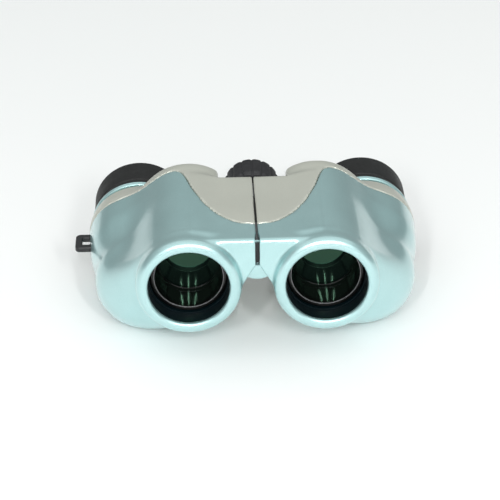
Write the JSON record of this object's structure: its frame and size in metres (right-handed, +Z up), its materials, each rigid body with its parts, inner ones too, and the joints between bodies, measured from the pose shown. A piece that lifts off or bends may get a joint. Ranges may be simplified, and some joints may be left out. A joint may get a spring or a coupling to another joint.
{
  "type": "binoculars",
  "caption": "Compact reverse-porro binoculars with folding halves, a ribbed focus wheel, soft eyecups and a strap lug, in light blue and silver-grey.",
  "frame": {"origin": "on the resting plane, in the middle plane between the two halves, 39 mm behind the front plane of the objective rims", "axes": "+X towards the half that folds, +Y from the objectives to the eyepieces, +Z up from the table"},
  "size_m": [0.1068, 0.0721, 0.041],
  "materials": {
    "blue_paint": "light blue metallic paint under gloss lacquer",
    "grey_paint": "warm silver-grey satin paint",
    "cast_metal": "die cast, dark",
    "steel": "ground",
    "brass": "turned",
    "arm_metal": "stamped",
    "black_plastic": "fine satin",
    "black_gloss": "polished black",
    "rubber": "matte moulded",
    "coated_lens": "green anti-reflection coating",
    "lens_glass": "polished",
    "eye_lens_glass": "violet anti-reflection coating",
    "prism_glass": "ground sides, polished faces",
    "screw_black": "black zinc"
  },
  "bodies": {
    "root": {"left_front_shell": "blue_paint", "left_rear_cover": "grey_paint", "left_hinge_frame": "cast_metal", "hinge_pin": "steel", "hinge_cap": "blue_paint", "hinge_washers": "brass", "rear_bush": "brass", "bridge_sleeve": "black_plastic", "left_objective_sleeve": "black_plastic", "left_prism_plate": "black_plastic", "left_rear_prism": "prism_glass", "left_front_prism": "prism_glass", "left_prism_clips": "steel", "left_eyepiece_tube": "black_plastic", "left_eyepiece_ring": "blue_paint", "left_eyepiece_barrel": "black_gloss", "left_field_lens": "lens_glass", "left_eye_lens": "eye_lens_glass", "left_eyecup": "rubber", "left_cover_screws": "screw_black", "strap_lug": "black_plastic"},
    "right_half": {"right_front_shell": "blue_paint", "right_rear_cover": "grey_paint", "right_hinge_frame": "cast_metal", "right_objective_sleeve": "black_plastic", "right_prism_plate": "black_plastic", "right_rear_prism": "prism_glass", "right_front_prism": "prism_glass", "right_prism_clips": "steel", "right_eyepiece_tube": "black_plastic", "right_cover_screws": "screw_black"},
    "focus_wheel": {"focus_wheel": "black_plastic", "focus_wheel_grip": "rubber", "wheel_end_cap": "black_gloss", "focus_shaft": "steel"},
    "focus_carriage": {"focus_carriage": "brass"},
    "left_objective": {"left_objective_cell": "black_gloss", "left_objective_lens": "coated_lens", "left_flint_lens": "lens_glass", "left_lens_retainer": "black_plastic", "left_focus_arm": "arm_metal"},
    "right_objective": {"right_objective_cell": "black_gloss", "right_objective_lens": "coated_lens", "right_flint_lens": "lens_glass", "right_lens_retainer": "black_plastic", "right_focus_arm": "arm_metal"},
    "right_eyepiece": {"right_eyepiece_barrel": "black_gloss", "right_field_lens": "lens_glass", "right_eye_lens": "eye_lens_glass"},
    "right_dioptre": {"right_dioptre_ring": "blue_paint", "right_eyecup": "rubber"}
  },
  "joints": [
    {"name": "fold", "type": "hinge", "parent": "root", "child": "right_half", "pos_m": [0, 0, 0.032], "axis": [0, 1, 0], "range_deg": [0, 40]},
    {"name": "focus_turn", "type": "hinge", "parent": "root", "child": "focus_wheel", "pos_m": [0, 0, 0.032], "axis": [0, 1, 0], "range_deg": [-200, 200]},
    {"name": "carriage_slide", "type": "slide", "parent": "root", "child": "focus_carriage", "axis": [0, 1, 0], "range_m": [-0.0025, 0.0025]},
    {"name": "left_objective_slide", "type": "slide", "parent": "root", "child": "left_objective", "axis": [0, 1, 0], "range_m": [-0.0025, 0.0025]},
    {"name": "right_objective_slide", "type": "slide", "parent": "right_half", "child": "right_objective", "axis": [0, 1, 0], "range_m": [-0.0025, 0.0025]},
    {"name": "right_eyepiece_slide", "type": "slide", "parent": "right_half", "child": "right_eyepiece", "axis": [0, 1, 0], "range_m": [-0.00097, 0.00097]},
    {"name": "dioptre_turn", "type": "hinge", "parent": "right_eyepiece", "child": "right_dioptre", "pos_m": [0.0355, 0, 0.01565], "axis": [0, 1, 0], "range_deg": [-90, 90]}
  ],
  "couplings": [
    {"joint": "focus_turn", "follows": "carriage_slide", "rad_per_m": 1396.2},
    {"joint": "left_objective_slide", "follows": "carriage_slide", "ratio": 1},
    {"joint": "right_objective_slide", "follows": "carriage_slide", "ratio": 1},
    {"joint": "dioptre_turn", "follows": "right_eyepiece_slide", "rad_per_m": 1612.9}
  ]
}
